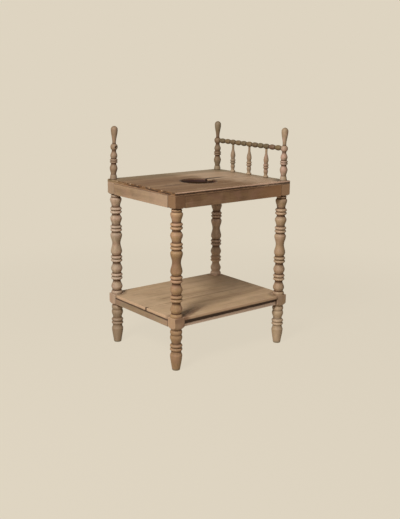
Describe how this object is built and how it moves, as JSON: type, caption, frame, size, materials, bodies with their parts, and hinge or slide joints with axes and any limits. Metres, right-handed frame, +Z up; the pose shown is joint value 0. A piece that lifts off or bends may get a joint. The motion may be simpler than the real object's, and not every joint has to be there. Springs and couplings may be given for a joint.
{
  "type": "washstand",
  "caption": "Spool-turned wooden washstand with a boarded top and basin hole, a low shelf, corner posts and a beaded gallery at the right end.",
  "frame": {"origin": "on the floor, under the middle of the top", "axes": "+Z up, the front faces -Y, the gallery stands on the right end at +X"},
  "size_m": [0.598, 0.475, 0.9294],
  "materials": {
    "turned_wood": "worn brown stain with a dull sheen, lighter on the crests of the turnings",
    "top_wood": "dark worn boards with stains and light, chipped edges",
    "apron_wood": "worn brown stain",
    "shelf_wood": "worn, dry brown boards with a light front edge",
    "hidden_wood": "bare, unfinished wood",
    "iron": "dark, rusted"
  },
  "bodies": {
    "root": {"apron_back": "apron_wood", "apron_front": "apron_wood", "apron_left": "apron_wood", "apron_right": "apron_wood", "gallery_rail": "turned_wood", "gallery_spindle_1": "turned_wood", "gallery_spindle_2": "turned_wood", "gallery_spindle_3": "turned_wood", "glue_block_back_left": "hidden_wood", "glue_block_back_right": "hidden_wood", "glue_block_front_left": "hidden_wood", "glue_block_front_right": "hidden_wood", "glue_block_left": "hidden_wood", "glue_block_right": "hidden_wood", "leg_back_left": "turned_wood", "leg_back_right": "turned_wood", "leg_front_left": "turned_wood", "leg_front_right": "turned_wood", "post_back_left": "turned_wood", "post_back_right": "turned_wood", "post_front_right": "turned_wood", "post_stub_front_left": "turned_wood", "rail_pin_back_right": "turned_wood", "rail_pin_front_right": "turned_wood", "shelf_board_front": "shelf_wood", "shelf_board_rear": "shelf_wood", "shelf_nail_left_front_1": "iron", "shelf_nail_left_front_2": "iron", "shelf_nail_left_rear_1": "iron", "shelf_nail_left_rear_2": "iron", "shelf_nail_right_front_1": "iron", "shelf_nail_right_front_2": "iron", "shelf_nail_right_rear_1": "iron", "shelf_nail_right_rear_2": "iron", "shelf_rail_back": "shelf_wood", "shelf_rail_front": "shelf_wood", "shelf_rail_left": "shelf_wood", "shelf_rail_right": "shelf_wood", "top_board_front": "top_wood", "top_board_rear": "top_wood"}
  },
  "joints": []
}
